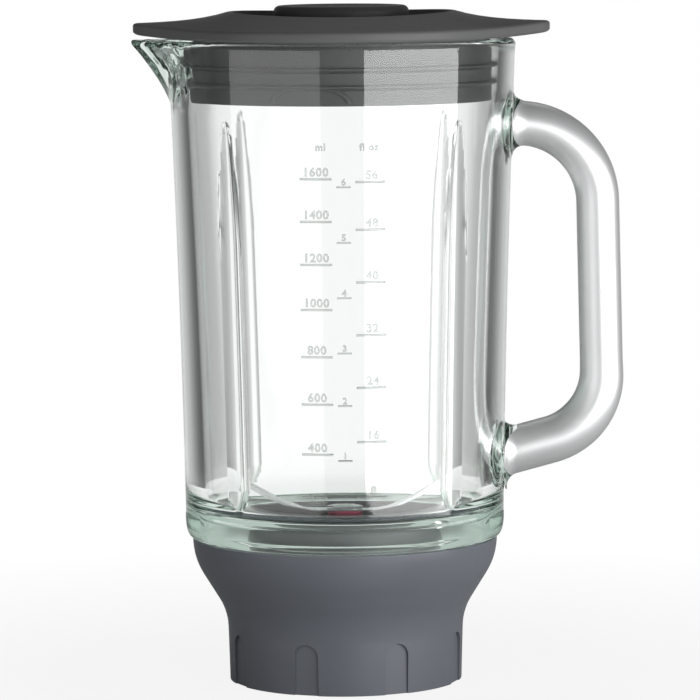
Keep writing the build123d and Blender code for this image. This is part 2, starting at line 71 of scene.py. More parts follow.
distance = (AIM - EYE).length
camera = bpy.data.objects.new("camera", bpy.data.cameras.new("camera"))
scene.collection.objects.link(camera)
camera.data.sensor_width = SENSOR
camera.data.lens = SENSOR * distance / (PICTURE * PIXEL)
camera.data.clip_end = 50
camera.data.shift_x = (PICTURE / 2 - AXIS_PIXEL[0]) / PICTURE
camera.data.shift_y = (AXIS_PIXEL[1] - PICTURE / 2) / PICTURE
look = (AIM - EYE).to_track_quat("-Z", "Y").to_matrix().to_4x4()
camera.matrix_world = Matrix.Translation(EYE) @ look @ Matrix.Rotation(-ROLL, 4, "Z")
scene.camera = camera
print("lens", round(camera.data.lens, 1), "mm")

# %% [markdown]
# ## Writing shaders as sums
# A shader graph is arithmetic drawn as boxes. One small class wraps a socket, so that the
# arithmetic can be written as Python expressions, and one method adds any other node.

# %% Shader helper
class Sock:
    """A value inside a node tree. Operators on it add Math nodes."""

    def __init__(self, shader, socket):
        self.shader, self.socket = shader, socket

    def _math(self, operation, a, b=None):
        values = [a] if b is None else [a, b]
        return self.shader.node("ShaderNodeMath", values, operation=operation)

    def __add__(self, other):
        return self._math("ADD", self, other)

    __radd__ = __add__

    def __sub__(self, other):
        return self._math("SUBTRACT", self, other)

    def __rsub__(self, other):
        return self._math("SUBTRACT", other, self)

    def __mul__(self, other):
        return self._math("MULTIPLY", self, other)

    def __truediv__(self, other):
        return self._math("DIVIDE", self, other)

    def __gt__(self, other):
        return self._math("GREATER_THAN", self, other)

    def least(self, other):
        return self._math("MINIMUM", self, other)

    def most(self, other):
        return self._math("MAXIMUM", self, other)

    def power(self, other):
        return self._math("POWER", self, other)

    def absolute(self):
        return self._math("ABSOLUTE", self)

    def clamped(self):
        """Kept between 0 and 1."""
        return self.most(0.0).least(1.0)


class Shader:
    """A node tree, of a material or of the world, with its output node."""

    def __init__(self, owner, output):
        owner.use_nodes = True
        self.tree = owner.node_tree
        self.tree.nodes.clear()
        self.out = self.tree.nodes.new(output)

    def feed(self, socket, value):
        if isinstance(value, Sock):
            self.tree.links.new(value.socket, socket)
        else:
            socket.default_value = value

    def node(self, kind, inputs=(), output=0, **settings):
        made = self.tree.nodes.new(kind)
        for name, value in settings.items():
            if name == "stops":
                ramp = made.color_ramp
                while len(ramp.elements) < len(value):
                    ramp.elements.new(0.5)
                for element, (place, colour) in zip(ramp.elements, value):
                    element.position, element.color = place, (*colour, 1)
            else:
                setattr(made, name, value)
        pairs = inputs.items() if isinstance(inputs, dict) else enumerate(inputs)
        for name, value in pairs:
            self.feed(made.inputs[name], value)
        return Sock(self, made.outputs[output])

    def parts(self, vector):
        """The x, y and z of a vector."""
        return [self.node("ShaderNodeSeparateXYZ", [vector], output=i) for i in range(3)]

    def place(self):
        """Object coordinates, in metres."""
        return self.node("ShaderNodeTexCoord", output="Object")

    def ray(self, kind):
        """1 for rays of one kind, 0 for the others."""
        return self.node("ShaderNodeLightPath", output=f"Is {kind} Ray")

    def noise(self, vector, scale, detail=2.0, roughness=0.5):
        return self.node(
            "ShaderNodeTexNoise",
            {"Vector": vector, "Scale": scale, "Detail": detail, "Roughness": roughness},
        )

    def blend(self, factor, low, high):
        """A colour between two colours."""
        made = self.tree.nodes.new("ShaderNodeMix")
        made.data_type = "RGBA"
        self.feed(made.inputs[0], factor)
        self.feed(made.inputs[6], low if isinstance(low, Sock) else (*low, 1))
        self.feed(made.inputs[7], high if isinstance(high, Sock) else (*high, 1))
        return Sock(self, made.outputs[2])

    def mixed(self, factor, first, second):
        """One shader where the factor is 0, another where it is 1."""
        return self.node("ShaderNodeMixShader", {0: factor, 1: first, 2: second})

    def bump(self, height, strength, distance):
        return self.node(
            "ShaderNodeBump", {"Height": height, "Strength": strength, "Distance": distance}
        )

    def surface(self, shader):
        self.feed(self.out.inputs["Surface"], shader)


def material(name):
    made = bpy.data.materials.new(name)
    return made, Shader(made, "ShaderNodeOutputMaterial")


def dress(node_name, finish):
    """Gives a CAD node a finish in every slot."""
    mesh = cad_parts[node_name].data
    for i in range(max(1, len(mesh.materials))):
        if i < len(mesh.materials):
            mesh.materials[i] = finish
        else:
            mesh.materials.append(finish)


print("shader helper ready")

# %% [markdown]
# ## Moulded plastics and rubber
# The lid, cap, collar and seals are all dark mouldings that differ in tone and shine. A real
# moulding is never one flat tone: spark erosion leaves a fine grain, the flow leaves faint clouds,
# and handling polishes it unevenly. One recipe with a few numbers makes all of them.

# %% Moulded finish
def moulded(name, tone, cloud=0.12, shine=0.4, grain=0.05, grain_size=1.2, specular=0.5):
    """A moulding's finish. The size of its grain is in millimetres."""
    made, s = material(name)
    vector = s.place()
    clouds = s.noise(vector, 30.0, 3.0)
    fine = s.noise(vector, 1000.0 / grain_size, 2.0, 0.6)
    low = tuple(c * (1 - cloud) for c in tone)
    high = tuple(c * (1 + cloud) for c in tone)
    body = s.node(
        "ShaderNodeBsdfPrincipled",
        {
            "Base Color": s.blend(clouds, low, high),
            "Roughness": shine + (clouds - 0.5) * 0.10 + (fine - 0.5) * 0.08,
            "Normal": s.bump(fine, grain, 0.0002),
            "Specular IOR Level": specular,
        },
    )
    s.surface(body)
    return made


print("moulded finish ready")

# %% [markdown]
# The tones are set from the photograph: a dark grey lid, a darker cap, a bluish collar. A low shine
# number is a glossier piece. The lid and the cap reflect little, so that they stay dark under the
# lamps. Then each node gets its finish.

# %% Moulded pieces
lid_finish = moulded(
    "lid_plastic", (0.092, 0.092, 0.093), shine=0.42, grain=0.03, grain_size=0.5, specular=0.14
)
cap_finish = moulded(
    "cap_plastic", (0.045, 0.045, 0.046), shine=0.45, grain=0.02, grain_size=0.5, specular=0.12
)
collar_finish = moulded(
    "collar_plastic", (0.105, 0.114, 0.130), shine=0.36, grain=0.02, grain_size=0.5, specular=0.3
)
seal_finish = moulded(
    "lid_seal_rubber", (0.012, 0.012, 0.0125), shine=0.5, grain=0.01, grain_size=0.4, specular=0.4
)
ring_finish = moulded("sealing_silicone", (0.05, 0.05, 0.052), shine=0.5, grain=0.04)
crimson_finish = moulded("spacer_plastic", (0.30, 0.012, 0.055), shine=0.45, grain=0.04)
carrier_finish = moulded("carrier_plastic", (0.045, 0.045, 0.048), shine=0.4, grain=0.06)
washer_finish = moulded("washer_plastic", (0.70, 0.67, 0.60), shine=0.45, cloud=0.05)
black_finish = moulded("coupling_plastic", (0.025, 0.025, 0.026), shine=0.45, grain=0.08)
moulded_nodes = {
    "filler_cap": cap_finish,
    "base_collar": collar_finish,
    "lid_seal": seal_finish,
    "sealing_ring": ring_finish,
    "blade_spacer": crimson_finish,
    "blade_carrier": carrier_finish,
    "upper_thrust_washer": washer_finish,
    "lower_thrust_washer": washer_finish,
    "drive_coupling": black_finish,
    "shaft_seal": black_finish,
}
for node_name, finish in moulded_nodes.items():
    dress(node_name, finish)
print("moulded nodes:", len(moulded_nodes))

# %% [markdown]
# ## Steel and bearing metal
# The blades are ground along their length and the shaft, washers and nut are turned, so both carry
# fine scratches. Stretching a noise along one axis gives the scratches, and they drive roughness
# and a very small bump.

# %% Metals
def worked_metal(name, tone, stretch, shine=0.28):
    made, s = material(name)
    drawn_out = s.node("ShaderNodeMapping", {"Vector": s.place(), "Scale": stretch})
    lines = s.noise(drawn_out, 1.0, 4.0, 0.7)
    body = s.node(
        "ShaderNodeBsdfPrincipled",
        {
            "Base Color": s.blend(lines, tuple(c * 0.8 for c in tone), tone),
            "Metallic": 1.0,
            "Roughness": shine + (lines - 0.5) * 0.2,
            "Normal": s.bump(lines, 0.12, 0.0001),
        },
    )
    s.surface(body)
    return made


blade_finish = worked_metal("blade_steel", (0.62, 0.62, 0.63), (250, 250, 4000))
turned_finish = worked_metal("shaft_steel", (0.55, 0.55, 0.56), (300, 300, 5000))
bush_finish = worked_metal("bush_metal", (0.55, 0.36, 0.16), (300, 300, 4000), 0.35)
housing_finish = worked_metal("housing_metal", (0.60, 0.60, 0.61), (300, 300, 4000), 0.38)
metal_nodes = {
    "lower_blade": blade_finish,
    "upper_blade": blade_finish,
    "blade_shaft": turned_finish,
    "lock_washer": turned_finish,
    "blade_nut": turned_finish,
    "coupling_screw": turned_finish,
    "upper_bush": bush_finish,
    "lower_bush": bush_finish,
    "bearing_housing": housing_finish,
}
for node_name, finish in metal_nodes.items():
    dress(node_name, finish)
print("metal nodes:", len(metal_nodes))

# %% [markdown]
# ## Glass
# Pressed soda glass is thick, so what colours it is depth: nearly clear across one wall, green
# along an edge. The spout and the handle's roots are thickest and were worked while soft, so they
# get a little more tint and a slow ripple. The handle has a satin, silvery finish. It starts a
# little way beyond the wall, and further out at the upper and lower sides of each root.

# %% Where the glass is thick, and where the satin starts
SPOUT_X, SPOUT_Z, SPOUT_FADE = -0.052, 0.234, 0.012
UPPER_ARM_Z, LOWER_ARM_Z = 0.228, 0.0925
ROOT_X, ROOT_X_FADE, ROOT_TALL, ROOT_Z_FADE = 0.061, 0.008, 0.016, 0.007
ROOT_SHARE = 0.35  # how much of the spout's tint and ripple the roots get
WALL_Z, WALL_TALL, WALL_R, WALL_LEAN, WALL_BOW = 0.069, 0.194, 0.0654, 0.0055, 0.0026
SATIN_GAP, FILLET_TALL, FILLET_OUT = 0.0009, 0.0105, 0.004


def thick_glass(x, z, to_arm):
    """1 in the spout, less in the handle's roots, 0 in the thin wall."""
    at_spout = ((SPOUT_X - x) / SPOUT_FADE).clamped() * ((z - SPOUT_Z) / SPOUT_FADE).clamped()
    at_root = ((x - ROOT_X) / ROOT_X_FADE).clamped()
    at_root = at_root * ((ROOT_TALL - to_arm) / ROOT_Z_FADE).clamped()
    return at_spout.most(at_root * ROOT_SHARE)


def satin_handle(s, vector, x, y, z, to_arm):
    """The satin shader, and 1 where the handle wears it."""
    grain = s.noise(vector, 2500.0, 2.0)
    satin = s.node(
        "ShaderNodeBsdfPrincipled",
        {
            "Base Color": s.blend(grain, (0.64, 0.645, 0.65), (0.70, 0.705, 0.71)),
            "Metallic": 0.74,
            "Roughness": 0.40 + (grain - 0.5) * 0.1,
            "Normal": s.bump(grain, 0.05, 0.0001),
        },
    )
    up = (z - WALL_Z) / WALL_TALL
    wall = up * WALL_LEAN - up * (1 - up) * WALL_BOW + WALL_R
    beyond = (x * x + y * y).power(0.5) - wall
    fillet = (to_arm / FILLET_TALL).least(1.0).power(4.0) * FILLET_OUT
    front = 1.0 - s.node("ShaderNodeNewGeometry", output="Backfacing")
    return satin, (beyond - fillet > SATIN_GAP) * (x > 0) * front


print("satin starts", SATIN_GAP / mm, "mm beyond the wall")

# %% [markdown]
# The shell is clear, and a volume absorption inside it makes the green by itself. Lamps pass
# through by the shadow-ray branch, so that the lid's plug and the blades are lit inside the jar. A
# trace of roughness makes the lamps' reflections in the glass less grainy, but not free of grain.
# The figures of the scale are glass tinted grey, a painted shade for their edges, so that they read
# against the white.

# %% Glass finish
def glass(name, tone=(1, 1, 1), with_handle=False):
    made, s = material(name)
    vector = s.place()
    x, y, z = s.parts(vector)
    to_arm = (z - UPPER_ARM_Z).absolute().least((z - LOWER_ARM_Z).absolute())
    thick = thick_glass(x, z, to_arm)
    ripple = s.noise(vector, 95.0, 1.0, 0.5) * thick
    clear = s.node(
        "ShaderNodeBsdfPrincipled",
        {
            "Base Color": s.blend(thick, tone, (0.90, 0.97, 0.94)),
            "Roughness": 0.035,
            "IOR": 1.48,
            "Transmission Weight": 1.0,
            "Normal": s.bump(ripple, 0.45, 0.003),
        },
    )
    unseen = s.node("ShaderNodeBsdfTransparent", {"Color": (0.88, 0.91, 0.90, 1)})
    shell = s.mixed(s.ray("Shadow"), clear, unseen)
    if with_handle:
        satin, on_handle = satin_handle(s, vector, x, y, z, to_arm)
        shell = s.mixed(on_handle, shell, satin)
        green = {"Color": (0.42, 0.74, 0.58, 1), "Density": 4.5}
        s.feed(s.out.inputs["Volume"], s.node("ShaderNodeVolumeAbsorption", green))
    s.surface(shell)
    return made


glass_finish = glass("jar_glass", with_handle=True)
# The figures' grey tone is painted shade: the real figures are clear glass.
scale_grey_shade_finish = glass("scale_glass", (0.70, 0.72, 0.71))
print("glass:", glass_finish.name, scale_grey_shade_finish.name)

# %% [markdown]
# ## The jar's shape
# The solid is right but faceted, and facets show in glass. So the jar is made again, smooth: one
# wall outline is spun round the axis, then its points are moved to draw out the spout and to push
# the four ribs inwards. The numbers are the ones the solid was made with, in millimetres.

# %% Curves of the wall
JAR_FOOT, BELT, RIM = 59.6, 69.0, 263.05
NECK_END, POCKET_SEAM, LEDGE = 46.0, 54.0, 62.4
FLOOR_THROAT, FLOOR_WALL = 67.6, 72.4
NECK_R, POCKET_R, THROAT_R = 52.0, 47.4, 40.0
BELT_R, RIM_R, BOW = 65.4, 70.9, 0.65
WALL_BOTTOM, WALL_TOP = 8.2, 6.5
FOOT_TUCK = 2.9  # how far the foot draws in under the belt
FLARE, FLARE_LOW = 0.55, 256
SPOUT_LOW, CHANNEL_LOW, RIB_TOP = 236.2, 244.0, 232.0


def on_arc(low, mid, high, z):
    """Radius at height z on the arc through three (radius, height) points."""
    (x1, y1), (x2, y2), (x3, y3) = low, mid, high
    d = 2 * (x1 * (y2 - y3) + x2 * (y3 - y1) + x3 * (y1 - y2))
    s1, s2, s3 = x1 * x1 + y1 * y1, x2 * x2 + y2 * y2, x3 * x3 + y3 * y3
    cx = (s1 * (y2 - y3) + s2 * (y3 - y1) + s3 * (y1 - y2)) / d
    cy = (s1 * (x3 - x2) + s2 * (x1 - x3) + s3 * (x2 - x1)) / d
    return cx - sqrt((x1 - cx) ** 2 + (y1 - cy) ** 2 - (z - cy) ** 2)


def bowed(low, high, z):
    """Radius at height z on a wall that bows in between the belt and the rim."""
    mid = ((low + high) / 2 - BOW, (BELT + RIM) / 2)
    return on_arc((low, BELT), mid, (high, RIM), z)


def outer_radius(z):
    return bowed(BELT_R, RIM_R, z)


def inner_radius(z):
    return bowed(BELT_R - WALL_BOTTOM, RIM_R - WALL_TOP, z)


def flare(z):
    """How far the wall turns out below the rim."""
    return FLARE * max(0, (z - FLARE_LOW) / (RIM - FLARE_LOW)) ** 2


print("wall at the belt and the rim:", outer_radius(BELT), outer_radius(RIM))

# %% [markdown]
# An outline is a list of corners. Rounding a corner swaps it for a short arc that touches both of
# its sides. The wall needs many levels, so that the spout and the ribs bend smoothly.

# %% Jar outline
def rounded(points, radii, steps=6):
    """The same open outline with its inner corners rounded by the radii given."""
    line = [Vector(points[0])]
    for before, corner, after, radius in zip(points, points[1:], points[2:], radii):
        a, b, c = Vector(before), Vector(corner), Vector(after)
        if radius == 0:
            line.append(b)
            continue
        u, v = (a - b).normalized(), (c - b).normalized()
        half = acos(max(-1, min(1, u.dot(v)))) / 2
        reach = radius / tan(half)
        centre = b + (u + v).normalized() * (radius / sin(half))
        start, end = b + u * reach - centre, b + v * reach - centre
        sweep = pi - 2 * half
        for i in range(steps + 1):
            t = i / steps
            spot = start * sin((1 - t) * sweep) + end * sin(t * sweep)
            line.append(centre + spot / sin(sweep))
    return line + [Vector(points[-1])]


def softened(corners, softness):
    """An outline with the corners named in softness rounded."""
    return rounded(corners, [softness.get(corner, 0) for corner in corners[1:-1]])


def evenly(low, high, count):
    return [low + (high - low) * i / count for i in range(count + 1)]


outer_levels = evenly(BELT + 1.2, SPOUT_LOW, 26) + evenly(SPOUT_LOW + 1.4, RIM - 3.2, 16)
inner_levels = evenly(RIM - 2.4, RIB_TOP + 1, 18) + evenly(RIB_TOP, RIB_TOP - 6, 9)
inner_levels += evenly(RIB_TOP - 12, 84.0, 18) + evenly(83.4, FLOOR_WALL + 10.0, 2)
foot_curve = [
    (BELT_R - FOOT_TUCK * (1 - sin(turn)) ** 1.3, JAR_FOOT + (BELT - JAR_FOOT) * (1 - cos(turn)))
    for turn in evenly(0.10, pi / 2, 9)
]
rim_edge = (RIM_R + flare(RIM), RIM)
floor_edge = (inner_radius(FLOOR_WALL), FLOOR_WALL)
corners = [
    (POCKET_R, POCKET_SEAM), (POCKET_R, NECK_END), (NECK_R, NECK_END), (NECK_R, JAR_FOOT),
    (BELT_R - FOOT_TUCK, JAR_FOOT), *foot_curve,
    *[(outer_radius(z) + flare(z), z) for z in outer_levels],
    rim_edge, (inner_radius(RIM), RIM),
    *[(inner_radius(z), z) for z in inner_levels],
    floor_edge, (THROAT_R, FLOOR_THROAT), (THROAT_R, LEDGE), (POCKET_R, LEDGE),
]
softness = {
    (NECK_R, NECK_END): 1.0, (NECK_R, JAR_FOOT): 1.0, rim_edge: 2.6, (inner_radius(RIM), RIM): 1.6,
    floor_edge: 9.0, (THROAT_R, FLOOR_THROAT): 2.0, (THROAT_R, LEDGE): 0.5,
}
jar_outline = softened(corners, softness)
print("jar outline points:", len(jar_outline))

# %% [markdown]
# ## Drawing out and pushing in
# After the spin every point knows how far it lies between the inner and the outer face. The spout
# is a circle drawn out to a rounded point: two straight sides that touch the circle and the tip.
# It grows towards the rim. A rib is a round bar half sunk in the wall. It runs out to a point at
# the top and at the floor.

# %% Spout and ribs
SPOUT_REACH, SPOUT_TIP = 16.0, 5.0
CHANNEL_REACH, CHANNEL_TIP = 16.5, 4.0
RIB_R, RIB_FOOT, RIB_SUNK = 5.0, 72.6, 0.16
RIB_FOOT_TAPER, RIB_TOP_TAPER = 10, 45


def beak(radius, reach, tip, turn):
    """Distance from the axis to a circle drawn out to a rounded point, at a turn from the point."""
    centre = reach - tip
    if centre <= radius - tip:
        return radius
    meet = acos((radius - tip) / centre)
    if turn >= meet:
        return radius
    if turn > atan2(tip * sin(meet), centre + tip * cos(meet)):
        return radius / cos(meet - turn)
    return centre * cos(turn) + sqrt(tip**2 - (centre * sin(turn)) ** 2)


def rib_depth(across, z):
    """How far a rib stands in from the wall, at a distance across it and a height."""
    size = RIB_R * min(1, max(0, (z - RIB_FOOT) / RIB_FOOT_TAPER))
    size *= min(1, max(0, (RIB_TOP - z) / RIB_TOP_TAPER)) ** 0.5
    left = size**2 - across**2
    return max(0, sqrt(left) - RIB_SUNK * size) if left > 0 else 0


def drawn(point):
    """Where a point of the spun wall goes."""
    x, y, z = point / mm
    radius, turn = hypot(x, y), atan2(y, x)
    if z < FLOOR_WALL:
        return point
    inner, outer = inner_radius(z), outer_radius(z)
    share = max(0, min(1, (radius - inner) / (outer - inner)))
    from_spout = abs(abs(turn) - pi)
    reach = outer + SPOUT_REACH * max(0, (z - SPOUT_LOW) / (RIM - SPOUT_LOW)) ** 1.35
    channel = inner + CHANNEL_REACH * max(0, (z - CHANNEL_LOW) / (RIM - CHANNEL_LOW)) ** 1.3
    high = beak(outer, reach, SPOUT_TIP, from_spout) - outer
    low = beak(inner, channel, CHANNEL_TIP, from_spout) - inner
    from_rib = abs((turn % (pi / 2)) - pi / 4)
    low -= rib_depth(from_rib * inner, z)
    if radius < inner - 0.5:
        low = 0
    radius += low + (high - low) * share
    return Vector((radius * cos(turn), radius * sin(turn), z)) * mm


print("spout reach at the rim:", outer_radius(RIM) + SPOUT_REACH)

# %% [markdown]
# ## Spinning the jar
# Two helpers serve all the new pieces: one spins an outline round the axis, and one turns the
# result into an object that is smooth but for its sharp edges.

# %% Jar body
SPIN_STEPS = 480


def spun(outline, move):
    """A closed outline of (radius, height), spun round the axis, its points then moved."""
    shape = bmesh.new()
    ring = [shape.verts.new((r * mm, 0, z * mm)) for r, z in outline]
    loop = [shape.edges.new(pair) for pair in zip(ring, ring[1:] + ring[:1])]
    bmesh.ops.spin(
        shape, geom=ring + loop, cent=(0, 0, 0), axis=(0, 0, 1),
        angle=2 * pi, steps=SPIN_STEPS, use_merge=True,
    )
    for vert in shape.verts:
        vert.co = move(vert.co)
    bmesh.ops.recalc_face_normals(shape, faces=shape.faces)
    return shape


def finished(name, shape, finish, crease=35):
    """A mesh object from a bmesh, smooth but for edges over an angle, with its finish."""
    mesh = bpy.data.meshes.new(name)
    shape.to_mesh(mesh)
    shape.free()
    mesh.shade_smooth()
    mesh.set_sharp_from_angle(angle=radians(crease))
    mesh.materials.append(finish)
    made = bpy.data.objects.new(name, mesh)
    scene.collection.objects.link(made)
    return made


def as_shown(thing):
    """A new mesh of an object as its modifiers or its lettering show it."""
    return bpy.data.meshes.new_from_object(
        thing.evaluated_get(bpy.context.evaluated_depsgraph_get())
    )


body = finished("jar_body", spun(jar_outline, drawn), glass_finish)
print("jar faces:", len(body.data.polygons))

# %% [markdown]
# ## The handle
# A round bar bent twice. Rings are set square to its path and joined one to the next. The path has
# close steps near the wall, where the bar's shape changes most.

# %% Handle path
HANDLE_R, ROOT = 8.8, 5.2
TOP, BOTTOM, ARM = 228.0, 103.6, 91.9
REACH, LEAN, SUNK = 103.6, 2.6, 3.4
CLOSE_STEP, LONG_STEP = 0.5, 5.0
bend = REACH - outer_radius(TOP) - 1.6
bar = rounded(
    [
        (outer_radius(TOP) - SUNK, TOP), (REACH, TOP),
        (REACH + LEAN, BOTTOM), (outer_radius(ARM) - SUNK, ARM),
    ],
    [bend, bend * 0.88],
    28,
)
path = []
for a, b in zip(bar, bar[1:]):
    step = CLOSE_STEP if min(a.x, b.x) < outer_radius(TOP) else LONG_STEP
    count = max(1, round((b - a).length / step))
    path += [a.lerp(b, i / count) for i in range(count)]
path.append(bar[-1])


def along(points, i):
    """The direction of a path of points at one of them."""
    return points[min(i + 1, len(points) - 1)] - points[max(i - 1, 0)]


def piped(spots, segments):
    """A bar through spots of (centre, direction, radius) in metres, as a bmesh and its rings."""
    shape = bmesh.new()
    rings = []
    for centre, ahead, radius in spots:
        square = Matrix.Translation(centre) @ ahead.to_track_quat("Z", "Y").to_matrix().to_4x4()
        end = not rings or len(rings) == len(spots) - 1
        made = bmesh.ops.create_circle(
            shape, cap_ends=end, segments=segments, radius=radius, matrix=square
        )
        rings.append(made["verts"])
    for before, after in zip(rings, rings[1:]):
        pair = set(before) | set(after)
        near = {edge for vert in pair for edge in vert.link_edges}
        edges = [edge for edge in near if edge.verts[0] in pair and edge.verts[1] in pair]
        bmesh.ops.bridge_loops(shape, edges=edges)
    bmesh.ops.recalc_face_normals(shape, faces=shape.faces)
    return shape, rings


print("handle path points:", len(path))

# %% [markdown]
# Where the bar meets the wall each point is moved outwards by how near it is to the glass, which
# gives the soft fillet of a fused joint. A union then makes the jar and its handle one piece of
# glass, and this piece stands for the solid.

# %% Handle
def bar_radius(z):
    """The bar is a little stouter at its lower and upper ends."""
    low = 0.9 * min(1, max(0, (130 - z) / 25))
    high = 0.3 * min(1, max(0, (z - 200) / 25))
    return HANDLE_R + low + high


spots = []
for i, here in enumerate(path):
    ahead = along(path, i)
    centre = Vector((here.x, 0, here.y)) * mm
    spots.append((centre, Vector((ahead.x, 0, ahead.y)), bar_radius(here.y) * mm))
shape, rings = piped(spots, 64)
for (centre, ahead, radius), ring in zip(spots, rings):
    for vert in ring:
        away = hypot(vert.co.x, vert.co.y) / mm - outer_radius(max(BELT, vert.co.z / mm))
        near = max(0, min(ROOT, ROOT - away))
        swell = (ROOT - sqrt(ROOT**2 - near**2)) * mm
        vert.co += (vert.co - centre) * (swell / radius)
handle = finished("handle_bar", shape, glass_finish)

join = body.modifiers.new("join", "BOOLEAN")
join.operation, join.solver, join.object = "UNION", "EXACT", handle
whole = as_shown(body)
for spare in (body, handle):
    bpy.data.objects.remove(spare)
shape = bmesh.new()
shape.from_mesh(whole)
bmesh.ops.remove_doubles(shape, verts=shape.verts, dist=0.00001)
bmesh.ops.recalc_face_normals(shape, faces=shape.faces)
jar = finished("jar_with_handle", shape, glass_finish)
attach(jar, "jar")
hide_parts("glass_jar")
print("jar and handle faces:", len(jar.data.polygons))

# %% [markdown]
# ## The lid
# One closed outline makes the lid's skin, its dish, the filler tube and the plug. It is spun round,
# then stretched sideways into two finger wings. The upper face falls from the dish's edge to a thin
# rim. It falls steeply at the front and less along the wings.

# %% Lid shape
SEAT, CROWN, DISH = 263.2, 274.5, 269.1
LID_R, WING_R, WING_TIP, DISH_R, DISH_FLOOR_R = 66.5, 84.9, 14.0, 45.5, 43.5
LID_FALL, WING_FALL, WING_LIFT, EDGE_DIP = 7.0, 4.7, 2.0, 1.3
PLUG_R, PLUG_END, PLUG_WALL = 59.0, 240.2, 2.9
BORE_R, TUBE_R, TUBE_END = 22.0, 24.6, 250.1
UNDER_SKIN, UNDER_DISH, STEP_OUT_R, STEP_IN_R = 268.2, 266.3, 48.3, 46.3
SEAM_HIGH, SEAM_LOW = 260.0, 259.0


def winged(point):
    """Where a point of the spun lid goes: what lies beyond the dish, above the seat, moves out."""
    x, y, z = point / mm
    radius, turn = hypot(x, y), atan2(y, x)
    dip = EDGE_DIP * sin(turn) ** 2
    inside = radius < PLUG_R + 0.2 and z < CROWN - 6
    if radius <= DISH_R and z > DISH:
        return point - Vector((0, 0, dip * (z - DISH) / (CROWN - DISH))) * mm
    if radius <= DISH_R or z < SEAT - 0.01 or inside:
        return point
    out = (radius - DISH_R) / (LID_R - DISH_R)
    reach = beak(LID_R, WING_R, WING_TIP, min(abs(turn), pi - abs(turn)))
    wing = (reach - LID_R) / (WING_R - LID_R)
    curve = 2.6 * wing + 0.01
    share = (1 - exp(-curve * out)) / (1 - exp(-curve))
    top = CROWN - (LID_FALL + (WING_FALL - LID_FALL) * wing) * share - dip * (1 - out)
    new_radius = DISH_R + out * (reach - DISH_R)
    low = SEAT + WING_LIFT * max(0, (new_radius - LID_R + 2) / (WING_R - LID_R + 2))
    height = low + (z - SEAT) * (top - low) / (CROWN - LID_FALL * out - SEAT)
    return Vector((new_radius * cos(turn), new_radius * sin(turn), height)) * mm


print("wings reach", WING_R, "mm from the axis")

# %% [markdown]
# The outline starts and ends in the filler tube's bore, where the cap hides it. Every corner that a
# finger can touch is rounded.

# %% Lid
corners = [
    (BORE_R, SEAM_HIGH), (BORE_R, DISH), (DISH_FLOOR_R, DISH), (DISH_R, CROWN),
    *[(DISH_R + 3 * i, CROWN - i) for i in range(1, 7)],
    (LID_R, CROWN - LID_FALL), (LID_R, SEAT), (PLUG_R, SEAT), (PLUG_R, PLUG_END),
    (PLUG_R - PLUG_WALL, PLUG_END), (PLUG_R - PLUG_WALL, UNDER_SKIN), (STEP_OUT_R, UNDER_SKIN),
    (STEP_IN_R, UNDER_DISH), (TUBE_R, UNDER_DISH), (TUBE_R, TUBE_END), (BORE_R, TUBE_END),
    (BORE_R, SEAM_LOW),
]
softness = {
    (BORE_R, DISH): 0.6, (DISH_FLOOR_R, DISH): 1.5, (DISH_R, CROWN): 0.8,
    (LID_R, CROWN - LID_FALL): 1.5, (LID_R, SEAT): 1.3,
    (PLUG_R, SEAT): 0.5, (PLUG_R, PLUG_END): 0.5, (BORE_R, TUBE_END): 0.5,
}
lid = finished("lid_moulding", spun(softened(corners, softness), winged), lid_finish)
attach(lid, "jar")
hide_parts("lid")
print("lid faces:", len(lid.data.polygons))

# %% [markdown]
# ## The tab on the seal
# The soft sleeve round the lid's plug has a moulded arch to pull it off by. It is a low round
# ridge, bent over the sleeve.

# %% Seal tab
SLEEVE_R = 61.25
TAB_X, TAB_Z, TAB_HALF, TAB_TALL, TAB_R = -12.5, 239.6, 15.0, 6.6, 1.1
arch = []
for turn in evenly(0, pi, 40):
    x, z = TAB_X + TAB_HALF * cos(turn), TAB_Z + TAB_TALL * sin(turn)
    round_by = x / SLEEVE_R
    arch.append(Vector((SLEEVE_R * sin(round_by), -SLEEVE_R * cos(round_by), z)) * mm)
shape, rings = piped([(spot, along(arch, i), TAB_R * mm) for i, spot in enumerate(arch)], 20)
tab = finished("seal_tab", shape, seal_finish)
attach(tab, "jar")
print("seal tab faces:", len(tab.data.polygons))

# %% [markdown]
# ## The measuring scale
# The scale is pressed into the outside of the front wall: figures and short lines, raised a third
# of a millimetre. Each mark is made flat, then wrapped round the wall.

# %% Marks
RAISED = 0.36
LIFT = 0.03  # keeps a mark's back just off the wall
LETTER_SIZE = 1.38  # the font's size for a figure one unit tall


def wrapped(spot):
    """Where a point of a flat mark goes on the wall."""
    x, z, out = spot.x / mm, spot.y / mm, spot.z / mm + LIFT
    radius = outer_radius(z) + out
    turn = x / outer_radius(z)
    return Vector((radius * sin(turn), -radius * cos(turn), z)) * mm


def figure(words, x, z, height):
    """Flat raised lettering about x, in metres, lying in XY."""
    curve = bpy.data.curves.new("figure", "FONT")
    curve.body, curve.size, curve.align_x = words, height * LETTER_SIZE * mm, "CENTER"
    curve.extrude, curve.bevel_depth, curve.bevel_resolution = 0.04 * mm, 0.14 * mm, 1
    curve.resolution_u = 3
    curve.space_character = 1.12
    holder = bpy.data.objects.new("figure", curve)
    scene.collection.objects.link(holder)
    mesh = as_shown(holder)
    bpy.data.objects.remove(holder)
    mesh.transform(Matrix.Translation((x * mm, z * mm, RAISED / 2 * mm)))
    return mesh


